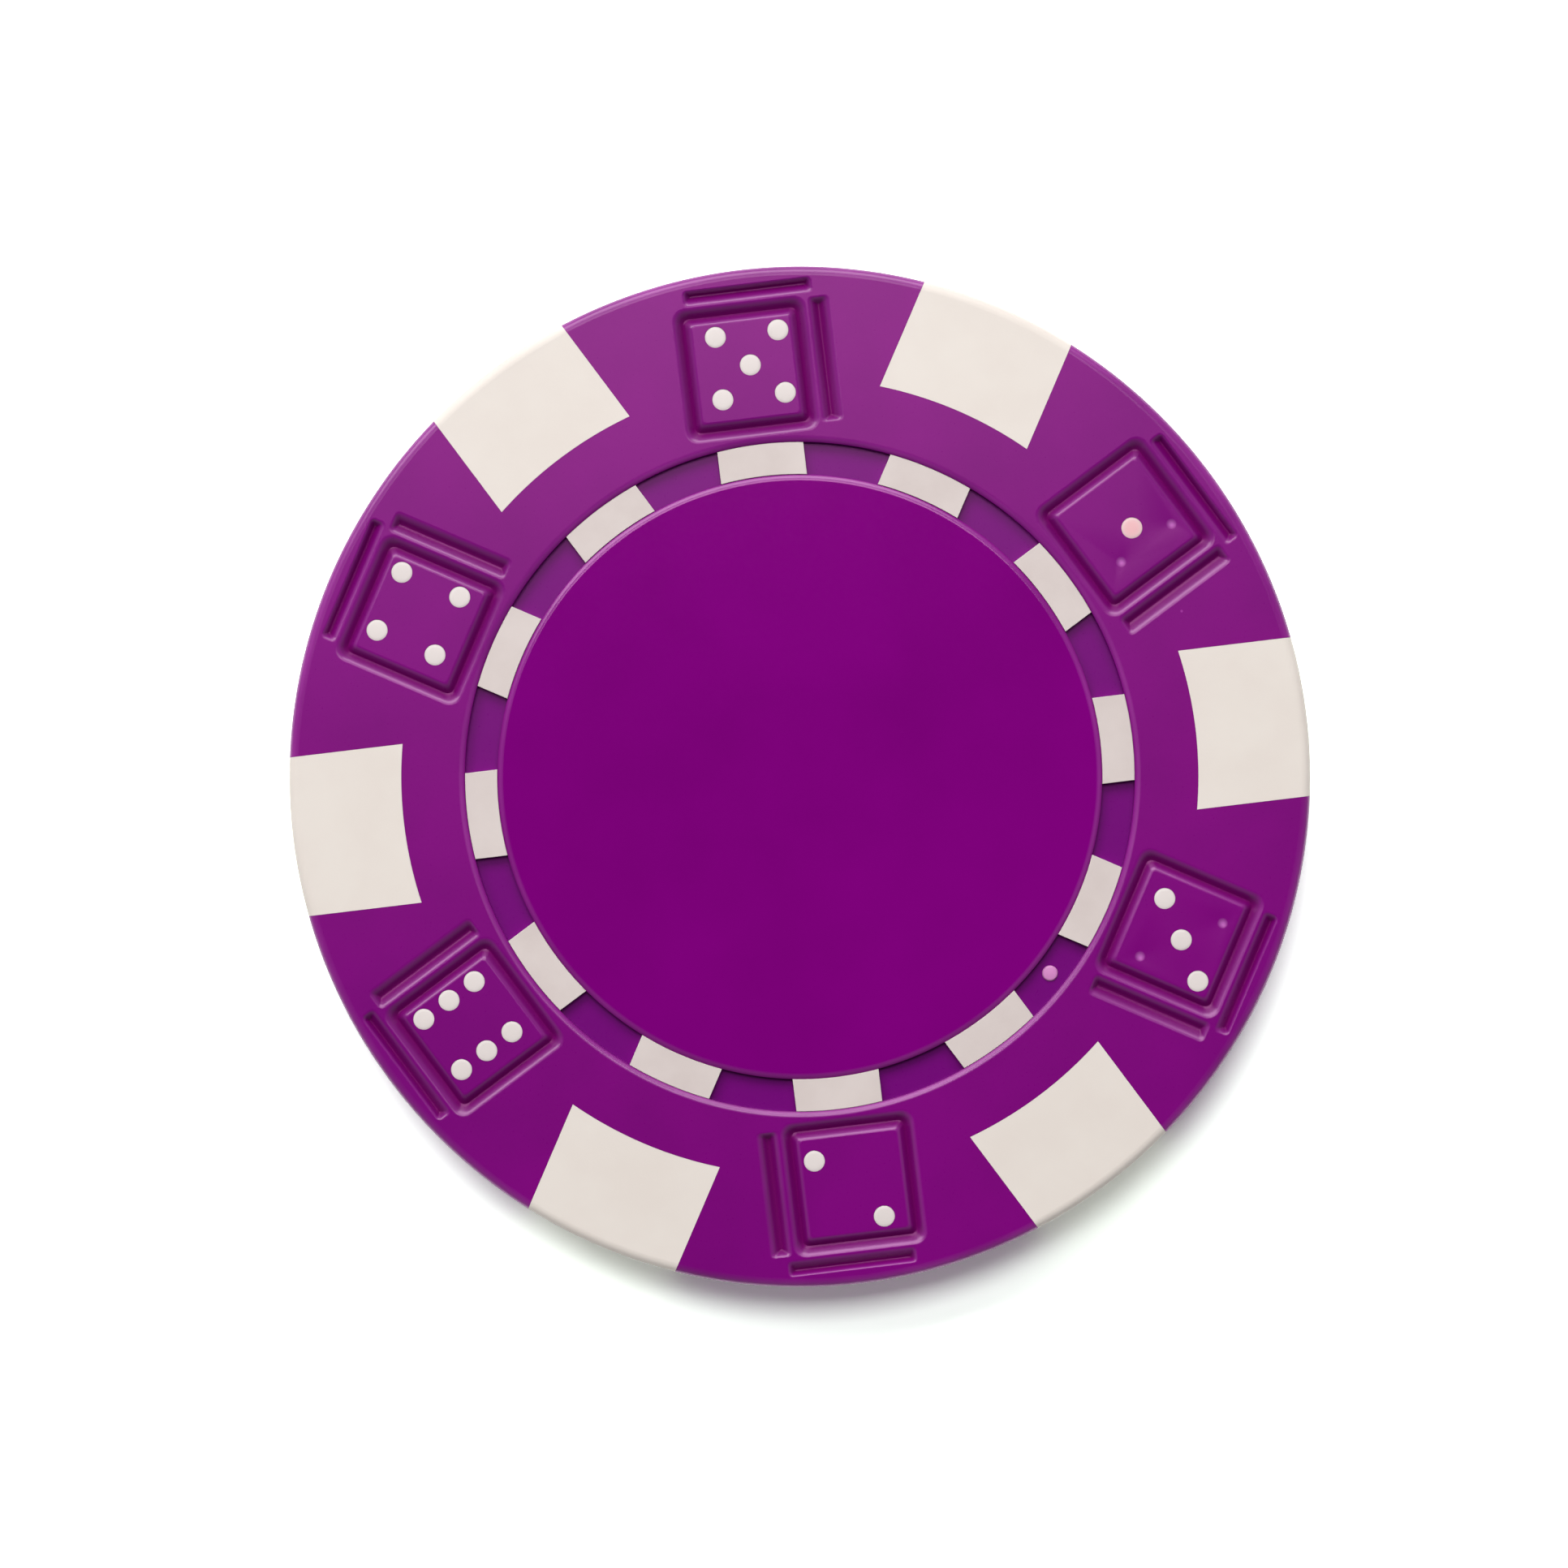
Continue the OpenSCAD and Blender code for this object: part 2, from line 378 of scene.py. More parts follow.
def mix_colour(tree, factor, first, second):
    """Mixes two colours, each a socket or four numbers, by a factor socket."""
    mix = add_node(tree, "ShaderNodeMix", data_type="RGBA")
    link(tree, factor, mix.inputs["Factor"])
    for name, value in (("A", first), ("B", second)):
        feed(tree, value, next(s for s in mix.inputs if s.name == name and s.type == "RGBA"))
    return next(s for s in mix.outputs if s.type == "RGBA")


def map_range(tree, value, low, high, to_low, to_high):
    """Carries a value from one range to another, held at its ends. A limit may be a socket."""
    ranged = add_node(tree, "ShaderNodeMapRange")
    limits = {"From Min": low, "From Max": high, "To Min": to_low, "To Max": to_high}
    for name, limit in limits.items():
        feed(tree, limit, ranged.inputs[name])
    link(tree, value, ranged.inputs["Value"])
    return ranged.outputs["Result"]


def attribute(tree, name):
    """A value that the mesh marks."""
    return add_node(tree, "ShaderNodeAttribute", attribute_name=name).outputs["Fac"]


print("white in linear colour:", linear(255, 255, 255))

# %% Node group for pale and polished edges, the pale partly rubbed and partly a painted highlight
wear_and_sheen_values = {"Cloud": 0.5, "Wear And Sheen": 0.0, "Groove": 0.0, "Most Wear And Sheen": 0.4, "Polish Depth": 0.08}
wear_and_sheen_span = (0.3, 0.7)
least_wear_and_sheen = 0.1
dull_depth = 0.5


def make_wear_and_sheen_group():
    """Masks from a mesh's marks: pale edges, partly rubbed and partly a painted highlight, and
    polish.
    """
    tree, given, result = new_group("wear_and_sheen_edges", wear_and_sheen_values, ("Pale", "Polish"))
    patches = map_range(tree, given["Cloud"], *wear_and_sheen_span, least_wear_and_sheen, given["Most Wear And Sheen"])
    link(tree, combine(tree, "MULTIPLY", given["Wear And Sheen"], patches), result["Pale"])
    upper_flanks = map_range(tree, given["Groove"], 0, given["Polish Depth"], 0, 1)
    not_bottom = map_range(tree, given["Groove"], dull_depth, 1, 1, 0)
    flanks = combine(tree, "MULTIPLY", upper_flanks, not_bottom)
    link(tree, combine(tree, "ADD", given["Wear And Sheen"], flanks), result["Polish"])
    return tree


wear_and_sheen_group = make_wear_and_sheen_group()
print("node group:", wear_and_sheen_group.name, [item.name for item in wear_and_sheen_group.interface.items_tree])

# %% Helpers that make a moulded plastic
cloud_span = (0.35, 0.65)
grain_span = (0.3, 0.7)
worn_roughness = 0.14
speck_share = 0.55
polish_roughness = 0.26


def add_skin(tree, sizes):
    """The skin of a piece. Its sizes come in the order of the group's own."""
    skin = add_node(tree, "ShaderNodeGroup", node_tree=skin_group)
    for socket, value in zip(skin_sizes, sizes):
        skin.inputs[socket].default_value = value
    place = add_node(tree, "ShaderNodeTexCoord")
    link(tree, place.outputs["Object"], skin.inputs["Vector"])
    return skin.outputs


def add_wear_and_sheen(tree, cloud, edges):
    """The masks of pale edges, partly rubbed and partly a painted highlight, and of polished ones.
    """
    wear_and_sheen_edges = add_node(tree, "ShaderNodeGroup", node_tree=wear_and_sheen_group)
    for socket, value in edges.items():
        wear_and_sheen_edges.inputs[socket].default_value = value
    link(tree, cloud, wear_and_sheen_edges.inputs["Cloud"])
    link(tree, attribute(tree, "wear_and_sheen"), wear_and_sheen_edges.inputs["Wear And Sheen"])
    link(tree, attribute(tree, "groove"), wear_and_sheen_edges.inputs["Groove"])
    return wear_and_sheen_edges.outputs


def add_grain(tree, shader, grain, height):
    """Lifts the surface by the grain."""
    bump = add_node(tree, "ShaderNodeBump")
    bump.inputs["Distance"].default_value = height * MM
    link(tree, grain, bump.inputs["Height"])
    link(tree, bump.outputs["Normal"], shader.inputs["Normal"])


def moulded_plastic(name, colours, marked, wear_and_sheen_colour, rough, constants, sizes, grain_height,
                    edges=None, polish=0):
    """A plastic between two colours, with other colours where the mesh marks them.

    Only a plastic with edges has pale ones, partly rubbed and partly a painted highlight, and
    polish.
    """
    material = bpy.data.materials.new(name)
    material.use_nodes = True
    tree = material.node_tree
    shader = tree.nodes["Principled BSDF"]
    for socket, value in constants.items():
        shader.inputs[socket].default_value = value
    skin = add_skin(tree, sizes)
    colour = mix_colour(tree, map_range(tree, skin["Cloud"], *cloud_span, 0, 1), *colours)
    for value, marked_colour in marked.items():
        colour = mix_colour(tree, attribute(tree, value), colour, marked_colour)
    roughness = map_range(tree, skin["Grain"], *grain_span, *rough)
    if edges:
        masks = add_wear_and_sheen(tree, skin["Cloud"], edges)
        # Pale edges: partly rubbed, partly a painted highlight.
        colour = mix_colour(tree, masks["Pale"], colour, wear_and_sheen_colour)
        coat = map_range(tree, masks["Polish"], 0, 1, 0, polish)
        link(tree, coat, shader.inputs["Coat Weight"])
        scuffed = map_range(tree, attribute(tree, "wear_and_sheen"), 0, 1, 0, worn_roughness)
        roughness = combine(tree, "ADD", roughness, scuffed)
    specks = map_range(tree, skin["Speck"], 0, 1, 0, speck_share)
    link(tree, mix_colour(tree, specks, colour, wear_and_sheen_colour), shader.inputs["Base Color"])
    link(tree, roughness, shader.inputs["Roughness"])
    add_grain(tree, shader, skin["Grain"], grain_height)
    print(f"finish {name}: roughness {rough[0]} to {rough[1]}, grain {sizes[1]} mm wide")
    return material


print("polished edges have a roughness of", polish_roughness)

# %% Purple plastic
# A pale purple for dust specks, and for edges and shoulders, where it is partly rubbed and partly a
# painted highlight.
wear_and_sheen_purple = linear(178, 68, 174)
purple_marks = {
    # painted shade: a darker, bluer purple on the recess floor
    "floor": linear(114, 0, 119),
    # painted shade: a darker, redder purple deep in the grooves
    "groove": linear(108, 0, 94),
    "tint": linear(196, 110, 194),
}
purple_constants = {
    "Specular IOR Level": 0.4,
    "Specular Tint": (1.0, 0.4, 0.8, 1),
    "Coat Roughness": polish_roughness,
}
purple_edges = {"Most Wear And Sheen": 0.4, "Polish Depth": 0.08}
purple_polish = 0.9
rim_purple = moulded_plastic(
    "rim_purple", (linear(120, 0, 118), linear(127, 0, 124)), purple_marks, wear_and_sheen_purple,
    rough=(0.27, 0.32), constants=purple_constants, sizes=(5.0, 0.1, 7.0, 0.05),
    grain_height=0.001, edges=purple_edges, polish=purple_polish,
)
disc_purple = moulded_plastic(
    "disc_purple", (linear(123, 0, 120), linear(129, 0, 126)), purple_marks, wear_and_sheen_purple,
    rough=(0.1, 0.13), constants=purple_constants, sizes=(7.0, 0.14, 4.5, 0.05),
    grain_height=0.0007, edges=purple_edges, polish=purple_polish,
)

# %% White plastic
white_constants = {"Specular IOR Level": 0.3}
white_grain_height = 0.002
spot_white = moulded_plastic(
    "spot_white", (linear(233, 223, 215), linear(236, 227, 219)), {}, linear(240, 234, 226),
    rough=(0.32, 0.4), constants=white_constants, sizes=(2.5, 0.1, 6.0, 0.04),
    grain_height=white_grain_height,
)
pip_white = moulded_plastic(
    "pip_white", (linear(228, 218, 215), linear(233, 223, 220)),
    {"tint": linear(242, 188, 192)}, linear(238, 232, 230),
    rough=(0.32, 0.4), constants=white_constants, sizes=(2.0, 0.1, 6.0, 0.04),
    grain_height=white_grain_height,
)
# The ring's white is a little darker and greyer than the spots': painted shade of blocks sitting
# low in the recess.
ring_white = moulded_plastic(
    "ring_white", (linear(216, 203, 199), linear(223, 211, 207)),
    {"tint": linear(216, 140, 200)}, linear(234, 226, 220),
    rough=(0.34, 0.44), constants=white_constants, sizes=(2.0, 0.1, 6.0, 0.04),
    grain_height=white_grain_height,
)

# %% [markdown]
# ## The body halves
#
# Each purple half is one closed skin. Its land is the flat top of the rim, between the rounded
# outer edge with its six notches and the shoulder of the recess. A boolean would leave hard knife
# edges, so each feature is lofted from its own outlines and the land is filled between them. The
# rim's outline and its notches come first.

# %% Rim: rounded edge, notches and the parting line
RIM_STEPS = 60
NOTCH_STEPS = 20
ROUND_STEPS = 6
edge_drop = 0.28
edge_run = 0.36
edge_wear_and_sheen = [0.2, 0.6, 1, 0.9, 0.6, 0.3]
parting_depth = 0.04
parting_rise = 0.05


def rim_outline(bm, outer_r, notch_half, notch_r, height):
    """Six arcs of the edge, each followed by the notch of a white spot."""
    chains = []
    outer_lean = math.asin(notch_half / outer_r)
    notch_lean = math.asin(notch_half / notch_r)
    for i in range(dice):
        start = math.pi / 2 + (i - 0.5) * station_angle
        end = start + station_angle
        sweep = station_angle - 2 * outer_lean
        chains.append(arc(bm, outer_r, height, start + outer_lean, sweep, RIM_STEPS))
        chains.append(arc(bm, notch_r, height, end - notch_lean, 2 * notch_lean, NOTCH_STEPS))
    return closed(bm, *chains)


def edge_stations():
    """Radius and height down the rounded edge, from the land to the middle plane."""
    flat_r = chip_r - edge_run
    places = [(flat_r - support, half_t), (flat_r, half_t)]
    for step in range(1, ROUND_STEPS + 1):
        angle = step / ROUND_STEPS * math.pi / 2
        drop = edge_drop * (1 - math.cos(angle))
        places.append((flat_r + edge_run * math.sin(angle), half_t - drop))
    return places + [(chip_r, parting_rise), (chip_r - parting_depth, 0)]


def rim_edge():
    """A drawing of the rim's edge, open at the land and at the middle plane."""
    bm = drawing()
    outlines = []
    for step, (radius, height) in enumerate(edge_stations()):
        margin = support if step == 0 else 0
        outlines.append(rim_outline(bm, radius, spot_half + margin, spot_in_r - margin, height))
    # The rounded edge is made paler towards its middle, partly rubbed and partly a painted
    # highlight.
    mark(bm, "wear_and_sheen", outlines[1:], edge_wear_and_sheen)
    loft(bm, outlines)
    return bm


print("rim: flat to", round(chip_r - edge_run, 3), "mm, then rounded to", round(chip_r, 3), "mm")

# %% [markdown]
# The dice are pressed into the land: a square moat leaves a raised face, and two straight slots
# outside it draw the die's other two sides. In the photograph a groove has one dark and one bright
# flank with soft edges and no floor, so each flank bends over slowly from the land, steepens, and
# meets the other flank in a soft bottom. The moat's outline also changes from round outer corners
# to nearly sharp inner ones. The mesh marks how deep each point of a groove lies, and the finish
# paints a redder, darker purple there as painted shade. It also marks where the groove's shoulder
# is made paler, partly rubbed and partly a painted highlight.

# %% Dice: moats and slots
CORNER_STEPS = 5
FLANK_STEPS = 8
flank_shares = [step / FLANK_STEPS for step in range(FLANK_STEPS + 1)]
groove_depth = 0.28
shoulder_softness = 0.55
bottom_softness = 0.14
crest_wear_and_sheen = 0.45
crest_run = 0.5
moat_in = 1.84
moat_mid = 2.19
moat_out = 2.595
moat_corner = 0.5
face_corner = 0.12
slot_in = 2.625
slot_mid = 3.04
outer_slot_out = 3.27
side_slot_out = 3.5
slot_l = 5.0
slot_end_run = 0.3
slot_corner = 0.2
corner_land = 0.16
outer_slot_aside = 0.4
side_slot_shift = 0.15
pip_aside = 0.19


def rounded_box(bm, half_x, half_y, corner, height, middle):
    """A rectangle with four round corners."""
    chains = []
    for step, (side, out) in enumerate(((1, 1), (-1, 1), (-1, -1), (1, -1))):
        centre = (middle[0] + side * (half_x - corner), middle[1] + out * (half_y - corner))
        start = step * math.pi / 2
        chains.append(arc(bm, corner, height, start, math.pi / 2, CORNER_STEPS, centre))
    return closed(bm, *chains)


def between(first, last, share):
    return first + share * (last - first)


def soft_ramp(share, softness):
    """Runs from 0 to 1, level at first and soon straight."""
    return (math.hypot(share, softness) - softness) / (math.hypot(1, softness) - softness)


def sink(share):
    """Depth of a flank, 0 at the land and 1 at the bottom, at a share of its run."""
    above = soft_ramp(1 - share, bottom_softness)
    return soft_ramp(1 - above, shoulder_softness)


def crest(share):
    """Paleness along a groove's shoulder, partly rubbed and partly a painted highlight; none on the
    land and bottom.
    """
    return crest_wear_and_sheen * math.sin(math.pi * min(share / crest_run, 1))


def groove_height(share):
    return half_t - groove_depth * sink(share)


def moat(bm):
    """Lofts a moat, and returns its outline on the die's face."""
    middle = (-pip_aside, square_r)
    mid_corner = moat_corner / 2
    places = [(moat_out + support, moat_corner, 0)]
    places += [(between(moat_out, moat_mid, share), between(moat_corner, mid_corner, share), share)
               for share in flank_shares]
    places += [(between(moat_in, moat_mid, share), between(face_corner, mid_corner, share), share)
               for share in reversed(flank_shares[:-1])]
    places.append((moat_in - support, face_corner, 0))
    outlines = [
        rounded_box(bm, half, half, corner, groove_height(share), middle)
        for half, corner, share in places
    ]
    # Deeper points of the groove get painted shade, a darker, redder purple.
    mark(bm, "groove", outlines, [sink(share) for _, _, share in places])
    # The shoulder is made paler, partly rubbed and partly a painted highlight.
    mark(bm, "wear_and_sheen", outlines, [crest(share) for _, _, share in places])
    loft(bm, outlines)
    return outlines[-1]


def slot_groove(bm, length, out, place):
    """Lofts a slot. Place turns a half length, a half width and a distance out into a box."""
    shares = [0] + flank_shares
    outlines = []
    for step, share in enumerate(shares):
        margin = support if step == 0 else 0
        low = between(slot_in, slot_mid - support, share) - margin
        high = between(out, slot_mid + support, share) + margin
        half_length = length / 2 - slot_end_run * share + margin
        half_x, half_y, middle = place(half_length, (high - low) / 2, (high + low) / 2)
        corner = between(slot_corner, support / 2, share)
        outlines.append(rounded_box(bm, half_x, half_y, corner, groove_height(share), middle))
    # Deeper points of the groove get painted shade, a darker, redder purple.
    mark(bm, "groove", outlines, [sink(share) for share in shares])
    # The shoulder is made paler, partly rubbed and partly a painted highlight.
    mark(bm, "wear_and_sheen", outlines, [crest(share) for share in shares])
    loft(bm, outlines)
    fill(bm, outlines[-1])


def outer_place(half_length, half_width, distance):
    return half_length, half_width, (outer_slot_aside - pip_aside, square_r + distance)


def side_place(half_length, half_width, distance):
    middle_out = square_r + side_slot_shift - corner_land / 2
    return half_width, half_length, (distance - pip_aside, middle_out)


def die_slots(bm):
    """The outer slot and the side slot of a die."""
    slot_groove(bm, slot_l, outer_slot_out, outer_place)
    slot_groove(bm, slot_l - corner_land, side_slot_out, side_place)


print(f"moat {moat_out - moat_in:.2f} mm wide and {groove_depth} mm deep, slots {slot_l} mm long")

# %% [markdown]
# White posts stand through the face of each die and show as its pips. Their holes go down to a flat
# pad, which is trapped between the body halves. On the faces that show one and three pips, the
# posts of two unused places end just under the skin. They show as faint pale dimples, and the mesh
# marks them with a tint that the finish reads.

# %% Dice: faces, pip holes and the pocket of the pad
PIP_STEPS = 32
DIMPLE_STEPS = 4
pip_d = 0.8
pip_margin = 0.25
pip_out = 0.17
pad_t = 0.8
dimple_d = 0.42
dimple_depth = 0.035
die_r = square_r + pip_out
pip_pitch = die_w / 2 - pip_margin - pip_d / 2
corners = [(-1, -1), (-1, 1), (1, -1), (1, 1)]
pip_places = {
    1: [(0, 0)],
    2: [(-1, 1), (1, -1)],
    3: [(-1, -1), (0, 0), (1, 1)],
    4: corners,
    5: corners + [(0, 0)],
    6: corners + [(-1, 0), (1, 0)],
}
dimple_places = {1: [(0.65, 1.08), (0.66, -0.92)], 3: [(-1, 1), (1, -1)]}


def pip_middle(place):
    return place[0] * pip_pitch, die_r + place[1] * pip_pitch


def dimple(bm, place):
    """A shallow pale dip over a post that ends under the skin."""
    shares = [step / DIMPLE_STEPS for step in range(DIMPLE_STEPS)]
    outlines = []
    for share in shares:
        radius = dimple_d / 2 * (1 - share)
        depth = dimple_depth * math.sin(share * math.pi / 2) ** 2
        outlines.append(circle(bm, radius, half_t - depth, PIP_STEPS, pip_middle(place)))
    mark(bm, "tint", outlines, shares)
    loft(bm, outlines)
    fill(bm, outlines[-1])
    return outlines[0]


def pad_pocket(bm, number):
    """The pad's pocket with its pip holes, whose outlines on the face it returns."""
    ceiling = pad_t / 2 + fit
    half_y = (die_r + pad_half - pad_low.y) / 2 + fit
    middle = (0, die_r + pad_half - half_y + fit)
    hole_r = pip_d / 2 + fit
    holes = [
        [circle(bm, hole_r, height, PIP_STEPS, pip_middle(place)) for height in (half_t, ceiling)]
        for place in pip_places[number]
    ]
    pocket = [
        rounded_box(bm, pad_half + fit, half_y, face_corner, height, middle)
        for height in (ceiling, 0)
    ]
    for hole in holes:
        loft(bm, hole)
    loft(bm, pocket)
    fill(bm, pocket[0], *(hole[1] for hole in holes))
    return [hole[0] for hole in holes]


def die(station):
    """A drawing of one die, open at the land and at the middle plane."""
    bm = drawing()
    number = die_numbers[station]
    face = moat(bm)
    die_slots(bm)
    holes = pad_pocket(bm, number)
    dimples = [dimple(bm, place) for place in dimple_places.get(number, [])]
    fill(bm, face, *holes, *dimples)
    turn(bm, station * station_angle)
    return bm


print(f"pips {pip_d} mm across, {pip_pitch:.2f} mm apart")

# %% [markdown]
# Inside the rim lies the recess, whose shoulder catches the light all round. Twelve windows in its
# floor let the white blocks through, and a small round one lets the moulding nub through. Below the
# floor the body is hollow for the white washer and for the slug.

# %% Recess, windows and the hollow for the core
RECESS_STEPS = 288
BLOCK_STEPS = 10
block_count = 12
block_angle = math.tau / block_count
block_w = 3.3
block_gap = 0.008
nub_d = 0.6
nub_place = 4.5
shoulder_run = 0.235
shoulder_drop = 0.09
shoulder_wear_and_sheen = [0.4, 0.8, 1, 0.8, 0.4]
washer_in_r = disc_r - (washer_r - recess_r)
block_mid_r = recess_r - recess_w / 2
block_half_l = recess_w / 2 - block_gap
nub_turn = math.pi / 2 - nub_place * block_angle
nub_middle = (block_mid_r * math.cos(nub_turn), block_mid_r * math.sin(nub_turn))


def bevel(run, drop, steps):
    """Run and drop along a shoulder that starts level and bends over evenly."""
    shares = [step / steps for step in range(steps + 1)]
    return [(run * share, drop * share ** 2) for share in shares]


shoulder = bevel(shoulder_run, shoulder_drop, ROUND_STEPS)


def block_outline(bm, inner_r, outer_r, half_w, height, steps, angle):
    """An arc-shaped block with straight sides, about a line at an angle from +Y."""
    middle = math.pi / 2 - angle
    outer_lean = math.asin(half_w / outer_r)
    inner_lean = math.asin(half_w / inner_r)
    outer = arc(bm, outer_r, height, middle - outer_lean, 2 * outer_lean, steps)
    inner = arc(bm, inner_r, height, middle + inner_lean, -2 * inner_lean, steps)
    return closed(bm, outer, inner)


def windows(bm, height, gap):
    """Outlines of the blocks and of the nub at a height, larger by a gap."""
    reach_out = block_half_l + gap
    blocks = [
        block_outline(bm, block_mid_r - reach_out, block_mid_r + reach_out, block_w / 2 + gap,
                      height, BLOCK_STEPS, i * block_angle)
        for i in range(block_count)
    ]
    return blocks + [circle(bm, nub_d / 2 + gap, height, PIP_STEPS, nub_middle)]


def recess():
    """A drawing of the recess and all below it, open at the land and at the middle plane."""
    bm = drawing()
    shoulder_r = recess_r + shoulder_run
    places = [(shoulder_r + support, half_t)]
    places += [(shoulder_r - run, half_t - drop) for run, drop in shoulder]
    places += [(recess_r, floor_h)]
    outlines = [circle(bm, radius, height, RECESS_STEPS) for radius, height in places]
    # The shoulder is made paler, partly rubbed and partly a painted highlight.
    mark(bm, "wear_and_sheen", outlines[2:], shoulder_wear_and_sheen)
    # The floor and the windows' rims are marked for painted shade, a darker, bluer purple.
    mark(bm, "floor", outlines[-1:], [1])
    loft(bm, outlines)
    ceiling_h = washer_top + fit
    upper = windows(bm, floor_h, fit)
    mark(bm, "floor", upper, [1] * len(upper))
    lower = windows(bm, ceiling_h, fit)
    for pair in zip(upper, lower):
        loft(bm, pair)
    fill(bm, outlines[-1], *upper)
    hollow(bm, lower)
    return bm


def hollow(bm, lower_windows):
    """The hollow for the washer and the slug."""
    ceiling_h = washer_top + fit
    slug_top = slug_h + fit
    slug_hole_r = slug_r + fit
    washer_hole_r = washer_r + fit
    places = [(slug_hole_r, 0), (slug_hole_r, slug_top)]
    places += [(washer_hole_r, slug_top), (washer_hole_r, ceiling_h)]
    outlines = [circle(bm, radius, height, RECESS_STEPS) for radius, height in places]
    core_r = washer_in_r - fit
    inner = [circle(bm, core_r, height, RECESS_STEPS) for height in (ceiling_h, slug_top)]
    loft(bm, outlines)
    loft(bm, inner)
    fill(bm, outlines[-1], inner[0], *lower_windows)
    fill(bm, inner[1])


print(f"{block_count} windows of {block_w} mm in a groove {recess_w} mm wide")

# %% Join the features into the two body halves
def body_half():
    """A closed drawing of the upper half."""
    bm = rim_edge()
    for part in [recess()] + [die(station) for station in range(dice)]:
        add_part(bm, part)
    fill_level(bm, half_t)
    fill_level(bm, 0)
    return bm


upper_half = body_half()
lower_half = upper_half.copy()
turn_over(lower_half)
finish_piece(upper_half, "upper_body", rim_purple, ["body_upper"])
finish_piece(lower_half, "lower_body", rim_purple, ["body_lower"])

# %% [markdown]
# ## White pieces
#
# The edge spots are lugs that show on both faces and on the edge, so their edge is rounded like the
# rim's and has the same parting line. They fit the notches closely, because the two plastics are
# moulded against each other.

# %% Edge spots
def edge_spot(i):
    bm = drawing()
    upper = edge_stations()
    places = upper + [(radius, -height) for radius, height in reversed(upper[:-1])]
    last = len(places) - 1
    outlines = []
    for step, (radius, height) in enumerate(places):
        margin = fit + (support if step in (0, last) else 0)
        outlines.append(block_outline(bm, spot_in_r + margin, radius, spot_half - margin,
                                      height, NOTCH_STEPS, (i + 0.5) * station_angle))
    loft(bm, outlines)
    fill(bm, outlines[0])
    fill(bm, outlines[-1])
    finish_piece(bm, f"edge_spot_{i + 1}", spot_white, [f"edge_insert_{i + 1}"])


for i in range(dice):
    edge_spot(i)

# %% [markdown]
# Each die's pad carries the posts of its own pips upwards, and downwards those of the die that lies
# under it when the chip is turned over. A pip is moulded nearly flush, with a slightly crowned top.

# %% Pips on their pads
pip_crown = 0.02
crown_shares = [(1.0, 1.0), (0.92, 0.4), (0.7, 0.1), (0.35, 0.0)]
single_tint = [0.5, 0.5, 0.55, 0.85, 1]


def posts(bm, number):
    """Posts of one die's pips. Returns their outlines on the pad."""
    feet = []
    for place in pip_places[number]:
        middle = pip_middle(place)
        outlines = [circle(bm, pip_d / 2, pad_t / 2, PIP_STEPS, middle)]
        outlines += [
            circle(bm, pip_d / 2 * share, half_t - pip_crown * drop, PIP_STEPS, middle)
            for share, drop in crown_shares
        ]
        loft(bm, outlines)
        fill(bm, outlines[-1])
        feet.append(outlines[0])
        if number == 1:
            mark(bm, "tint", outlines, single_tint)
    return feet


def station_below(station):
    """Station whose upper face comes to lie under a station when the chip is turned over."""
    return (dice - station) % dice


def pad_side(station):
    """A drawing of one side of a pad with its posts, open at the middle plane."""
    bm = drawing()
    half_y = (die_r + pad_half - pad_low.y) / 2
    middle = (0, die_r + pad_half - half_y)
    sides = [
        rounded_box(bm, pad_half, half_y, face_corner, height, middle) for height in (pad_t / 2, 0)
    ]
    loft(bm, sides)
    fill(bm, sides[0], *posts(bm, die_numbers[station]))
    return bm


def die_pips(station):
    bm = pad_side(station_below(station))
    turn_over(bm)
    add_part(bm, pad_side(station))
    turn(bm, station * station_angle)
    name = f"die_pips_{station + 1}"
    finish_piece(bm, name, pip_white, [f"die_insert_{station + 1}"])


for station in range(dice):
    die_pips(station)

# %% [markdown]
# The ring of blocks is one washer with twelve blocks and a nub standing on it. The blocks' upper
# edges are rounded a little, and their tops stay just below the rim.

# %% Ring of blocks
FILLET_STEPS = 3
block_round = 0.015
nub_round = 0.08


def quarter_round(radius):
    """Run and drop along a quarter of a circle, from its upright end to its level one."""
    angles = [step / FILLET_STEPS * math.pi / 2 for step in reversed(range(FILLET_STEPS + 1))]
    return [(radius * math.sin(angle), radius * (1 - math.cos(angle))) for angle in angles]


def block_walls(bm, i):
    """Walls and top of one block. Returns its outline on the washer."""
    places = [(0, washer_top)]
    places += [(block_round - run, block_top - drop) for run, drop in quarter_round(block_round)]
    places.append((block_round + support, block_top))
    outlines = []
    for inset, height in places:
        reach_out = block_half_l - inset
        outlines.append(block_outline(bm, block_mid_r - reach_out, block_mid_r + reach_out,
                                      block_w / 2 - inset, height, BLOCK_STEPS, i * block_angle))
    loft(bm, outlines)
    fill(bm, outlines[-1])
    return outlines[0]


def nub(bm):
    """The round moulding nub. Returns its outline on the washer."""
    crown_r = nub_d / 2 - nub_round
    crown_h = floor_h + nub_round
    outlines = [circle(bm, nub_d / 2, washer_top, PIP_STEPS, nub_middle)]
    for run, drop in quarter_round(nub_round):
        outlines.append(circle(bm, crown_r + run, crown_h - drop, PIP_STEPS, nub_middle))
    mark(bm, "tint", outlines, [1] * len(outlines))
    loft(bm, outlines)
    fill(bm, outlines[-1])
    return outlines[0]


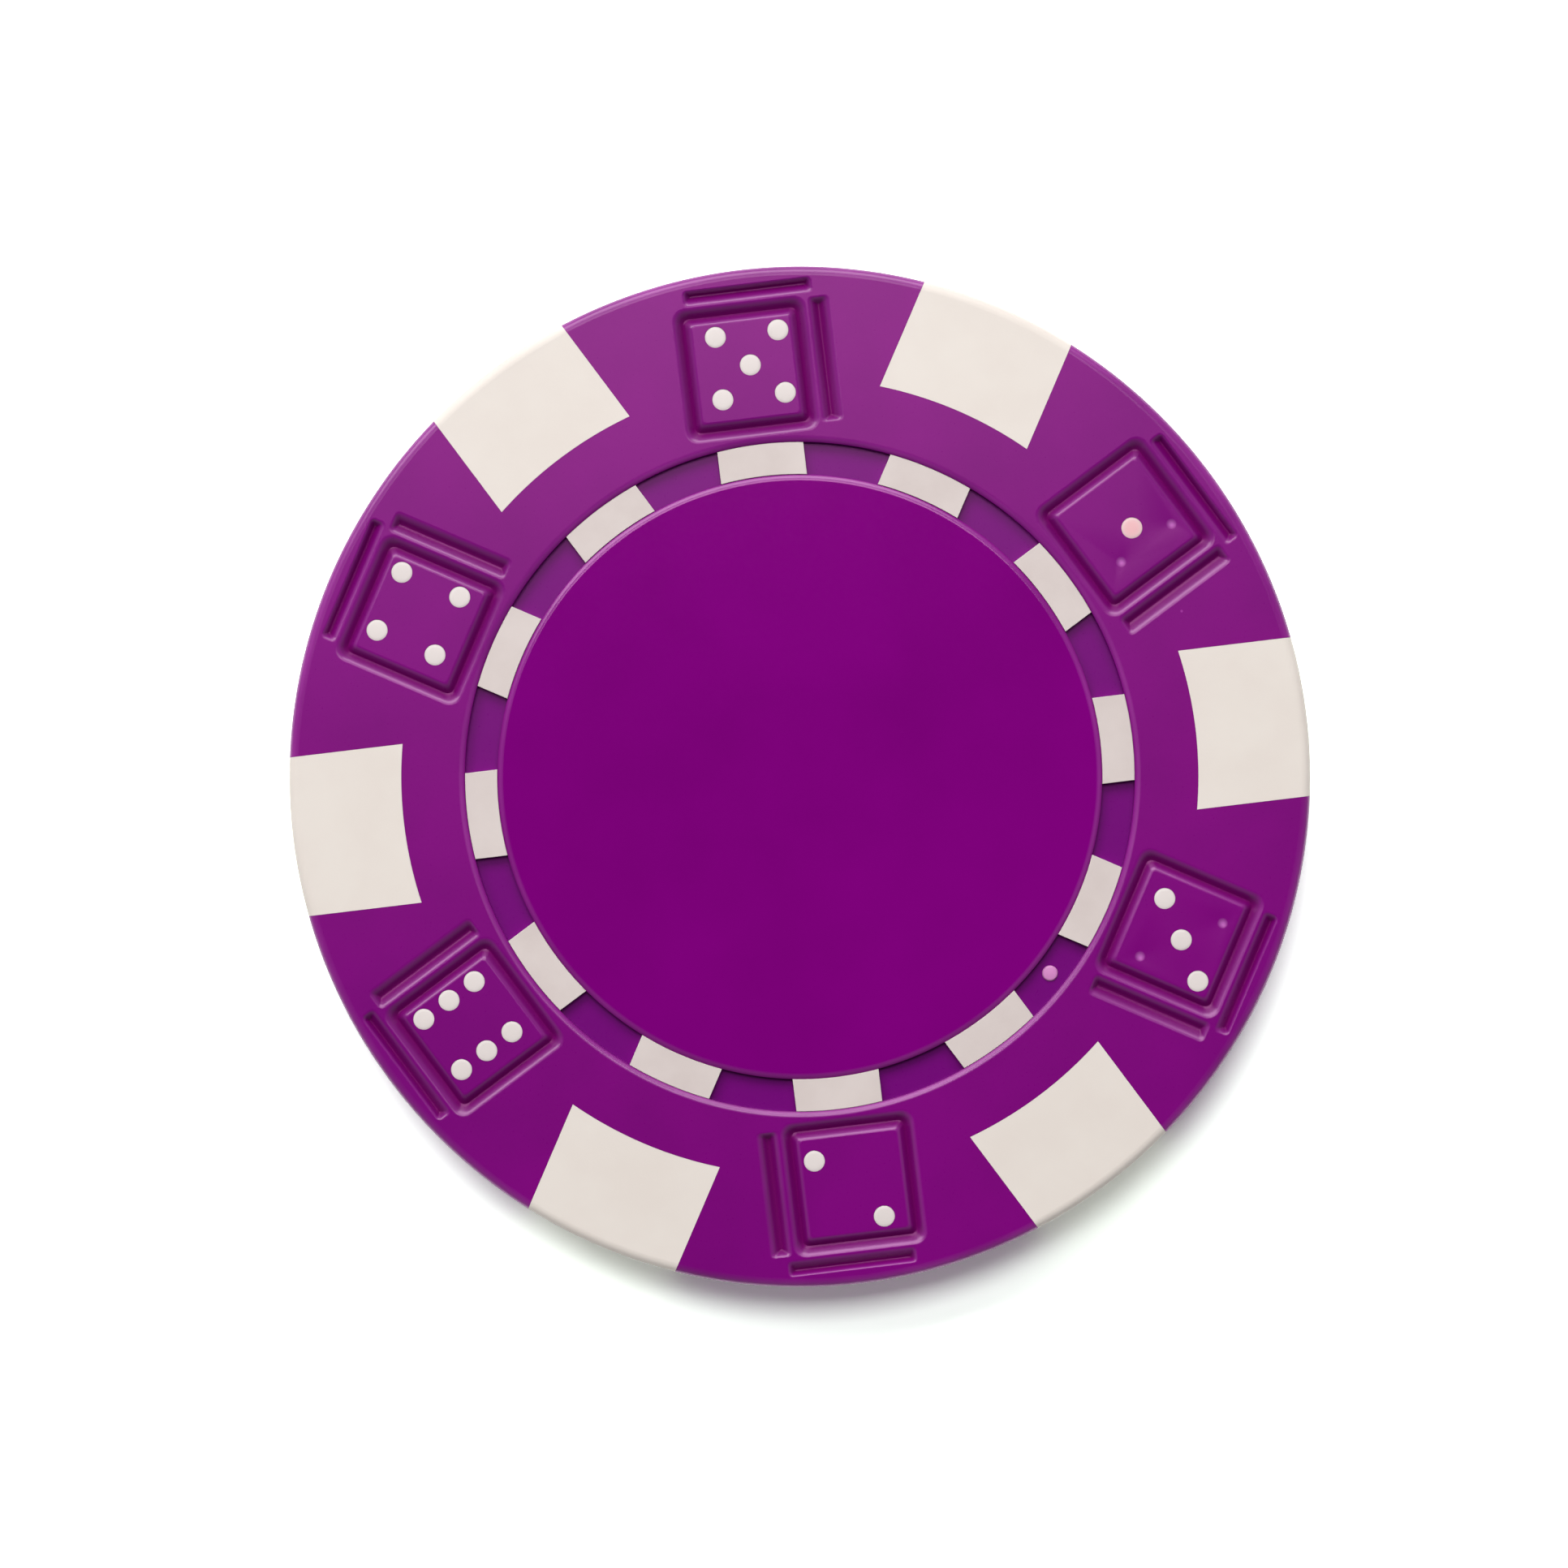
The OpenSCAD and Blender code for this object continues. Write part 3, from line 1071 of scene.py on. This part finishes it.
def ring_blocks():
    """A drawing of the upper ring."""
    bm = drawing()
    feet = [block_walls(bm, i) for i in range(block_count)] + [nub(bm)]
    outer = [circle(bm, washer_r, height, RECESS_STEPS) for height in (washer_top, washer_base)]
    inner = [circle(bm, washer_in_r, height, RECESS_STEPS) for height in (washer_top, washer_base)]
    loft(bm, outer)
    loft(bm, inner)
    fill(bm, outer[0], inner[0], *feet)
    fill(bm, outer[1], inner[1])
    return bm


upper_ring = ring_blocks()
lower_ring = upper_ring.copy()
turn_over(lower_ring)
finish_piece(upper_ring, "ring_blocks_upper", ring_white, ["ring_insert_upper"])
finish_piece(lower_ring, "ring_blocks_lower", ring_white, ["ring_insert_lower"])

# %% [markdown]
# ## Centre discs and slug
#
# The centre disc is a plain turned shape, so all its outlines are circles. Its rounded shoulder is
# what catches the bright line in the photograph. The slug is sealed inside, so its own solid stays
# and only gets a steel finish.

# %% Centre discs
def centre_disc():
    """A drawing of the upper disc."""
    bm = drawing()
    shoulder_r = disc_r - shoulder_run
    places = [(shoulder_r - support, disc_top)]
    places += [(shoulder_r + run, disc_top - drop) for run, drop in shoulder]
    places += [(disc_r, disc_base)]
    outlines = [circle(bm, radius, height, RECESS_STEPS) for radius, height in places]
    # The shoulder is made paler, partly rubbed and partly a painted highlight.
    mark(bm, "wear_and_sheen", outlines[2:], shoulder_wear_and_sheen)
    loft(bm, outlines)
    fill(bm, outlines[0])
    fill(bm, outlines[-1])
    return bm


upper_disc = centre_disc()
lower_disc = upper_disc.copy()
turn_over(lower_disc)
finish_piece(upper_disc, "centre_field_upper", disc_purple, ["centre_disc_upper"])
finish_piece(lower_disc, "centre_field_lower", disc_purple, ["centre_disc_lower"])

# %% Steel slug
steel_colours = (linear(150, 152, 156), linear(176, 178, 182))
steel_rough = (0.32, 0.5)
steel_sizes = (6.0, 0.4, 4.0, 0.05)


def stamped_steel():
    material = bpy.data.materials.new("stamped_steel")
    material.use_nodes = True
    tree = material.node_tree
    shader = tree.nodes["Principled BSDF"]
    shader.inputs["Metallic"].default_value = 1
    skin = add_skin(tree, steel_sizes)
    colour = mix_colour(tree, skin["Cloud"], *steel_colours)
    roughness = map_range(tree, skin["Grain"], *grain_span, *steel_rough)
    link(tree, colour, shader.inputs["Base Color"])
    link(tree, roughness, shader.inputs["Roughness"])
    return material


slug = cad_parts["steel_slug"]
slug.data.materials.clear()
slug.data.materials.append(stamped_steel())
print("slug finish:", slug.data.materials[0].name)

# %% [markdown]
# ## Stage, light and camera
#
# The chip lies on a plain white table. A wide soft box stands towards the top of the picture, a
# little to the left, and draws the bright and dark flanks of the relief. A small one hangs almost
# overhead, and its sheen on the rim fades towards the bottom of the picture, as in the photograph.
# A weak glow comes from all round. The table shows white to the camera and still takes the darkest
# part of the chip's shadow.

# %% Table
table_grey = (0.85, 0.85, 0.85, 1)
seen_grey = (2.1, 2.25, 2.12, 1)
seen_glow = 0.03
table_half = 1.5


def table_finish():
    """White to the camera, where only the darkest part of a shadow is left."""
    material = bpy.data.materials.new("white_table")
    material.use_nodes = True
    tree = material.node_tree
    tree.nodes.clear()
    path = add_node(tree, "ShaderNodeLightPath").outputs
    direct = combine(tree, "ADD", path["Is Camera Ray"], path["Is Glossy Ray"])
    seen = combine(tree, "ADD", direct, path["Is Transmission Ray"])
    seen.node.use_clamp = True
    diffuse = add_node(tree, "ShaderNodeBsdfDiffuse")
    link(tree, mix_colour(tree, seen, table_grey, seen_grey), diffuse.inputs["Color"])
    glow = add_node(tree, "ShaderNodeEmission")
    link(tree, map_range(tree, seen, 0, 1, 0, seen_glow), glow.inputs["Strength"])
    both = add_node(tree, "ShaderNodeAddShader")
    link(tree, diffuse.outputs[0], both.inputs[0])
    link(tree, glow.outputs[0], both.inputs[1])
    result = add_node(tree, "ShaderNodeOutputMaterial")
    link(tree, both.outputs[0], result.inputs["Surface"])
    return material


bm = bmesh.new()
bmesh.ops.create_grid(bm, x_segments=1, y_segments=1, size=table_half)
table_mesh = bpy.data.meshes.new("table")
bm.to_mesh(table_mesh)
bm.free()
table_mesh.materials.append(table_finish())
table = bpy.data.objects.new("table", table_mesh)
bpy.context.scene.collection.objects.link(table)
print("table", 2 * table_half, "m wide")

# %% Camera straight above
PHOTO_PX = 1932
chip_px_r = 630
chip_px = (985.5, 957)
photo_turn = math.radians(6.85)
camera_distance = 0.18
sensor_w = 36
near_clip = 0.01
px = chip_r * MM / chip_px_r
frame_w = PHOTO_PX * px
right = Vector((math.cos(photo_turn), -math.sin(photo_turn), 0))
up = Vector((math.sin(photo_turn), math.cos(photo_turn), 0))
aside = (PHOTO_PX / 2 - chip_px[0]) * px * right + (chip_px[1] - PHOTO_PX / 2) * px * up
lens = bpy.data.cameras.new("camera")
lens.sensor_width = sensor_w
lens.lens = sensor_w * camera_distance / frame_w
lens.clip_start = near_clip
camera = bpy.data.objects.new("camera", lens)
camera.location = aside + Vector((0, 0, (middle_h + half_t) * MM + camera_distance))
camera.rotation_euler = (0, 0, -photo_turn)
bpy.context.scene.collection.objects.link(camera)
bpy.context.scene.camera = camera
print(f"frame {frame_w / MM:.2f} mm wide, lens {lens.lens:.0f} mm")

# %% Lights
def soft_light(name, share, rise, turned_left, distance, width, height):
    """A soft box that lights a level white face to this share of white.

    Its turn counts from the picture's right side.
    """
    lamp = bpy.data.lights.new(name, "AREA")
    lamp.shape = "RECTANGLE"
    lamp.size = width
    lamp.size_y = height
    lamp.energy = share * math.pi ** 2 * distance ** 2 / math.sin(rise)
    light = bpy.data.objects.new(name, lamp)
    towards = math.cos(turned_left) * right + math.sin(turned_left) * up
    light.location = distance * (math.cos(rise) * towards + Vector((0, 0, math.sin(rise))))
    light.rotation_euler = light.location.to_track_quat("Z", "Y").to_euler()
    bpy.context.scene.collection.objects.link(light)
    print(f"{name} light: {lamp.energy:.2f} W at {distance} m")


soft_light("key", share=0.68, rise=math.radians(39), turned_left=math.radians(106),
           distance=1.0, width=1.4, height=0.55)
soft_light("top", share=0.34, rise=math.radians(72), turned_left=math.radians(97),
           distance=0.25, width=0.14, height=0.075)

# %% Glow all round
zenith_glow = 0.03
horizon_glow = 0.38
plain_white = (1, 1, 1, 1)
world = bpy.data.worlds.new("studio")
world.use_nodes = True
bpy.context.scene.world = world
tree = world.node_tree
tree.nodes.clear()
direction = add_node(tree, "ShaderNodeTexCoord")
height = add_node(tree, "ShaderNodeSeparateXYZ")
link(tree, direction.outputs["Generated"], height.inputs[0])
glow = add_node(tree, "ShaderNodeBackground")
glow.inputs["Color"].default_value = plain_white
strength = map_range(tree, height.outputs["Z"], 0, 1, horizon_glow, zenith_glow)
link(tree, strength, glow.inputs["Strength"])
white = add_node(tree, "ShaderNodeBackground")
white.inputs["Color"].default_value = plain_white
path = add_node(tree, "ShaderNodeLightPath")
seen = add_node(tree, "ShaderNodeMixShader")
link(tree, path.outputs["Is Camera Ray"], seen.inputs[0])
link(tree, glow.outputs[0], seen.inputs[1])
link(tree, white.outputs[0], seen.inputs[2])
result = add_node(tree, "ShaderNodeOutputWorld")
link(tree, seen.outputs[0], result.inputs["Surface"])
bpy.context.scene.view_settings.view_transform = "Standard"
print("glow from", horizon_glow, "at the horizon to", zenith_glow, "overhead")
